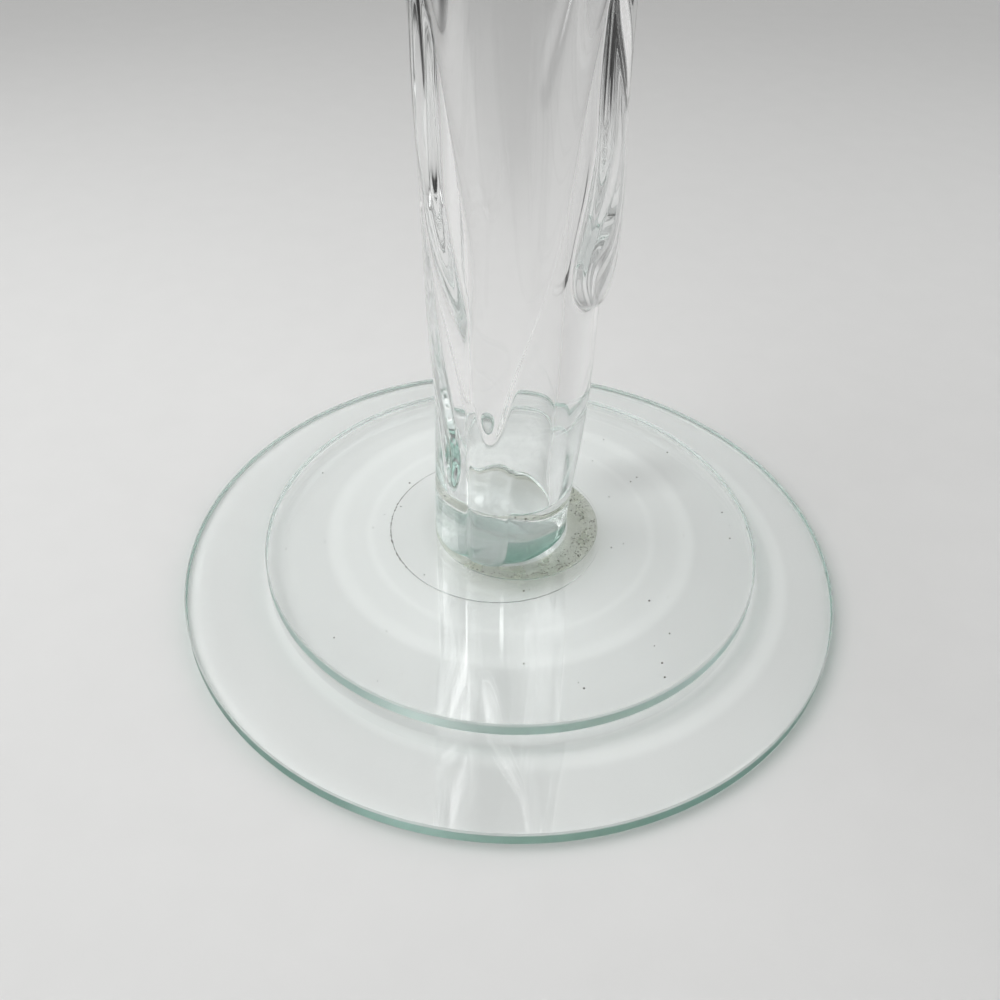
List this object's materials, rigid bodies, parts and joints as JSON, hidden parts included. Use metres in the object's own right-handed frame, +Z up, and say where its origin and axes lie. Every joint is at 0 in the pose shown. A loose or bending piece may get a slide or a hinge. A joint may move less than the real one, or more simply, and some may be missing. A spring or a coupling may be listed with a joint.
{
  "type": "glass vase",
  "caption": "Tall clear glass vase: a free-formed column with flowing runs of glass and a stem bore, bonded to stepped discs of float glass.",
  "frame": {"origin": "centre of the lower disc's underside, on the table", "axes": "+Z up along the column, -Y towards the front of the column, +X to the right seen from the front"},
  "size_m": [0.22, 0.22, 0.3601],
  "materials": {
    "float_glass": "flat polished faces, ground edges with a green tint",
    "clear_glass": "fire-polished, clear, flowing surface",
    "clear_adhesive": "clear cured adhesive film",
    "aged_adhesive": "clear adhesive, slightly yellowed, with specks of dust"
  },
  "bodies": {
    "root": {"lower_base_disc": "float_glass", "plate_bond_film": "clear_adhesive", "upper_base_disc": "float_glass", "column_bond_pad": "aged_adhesive", "vase_column": "clear_glass"}
  },
  "joints": []
}
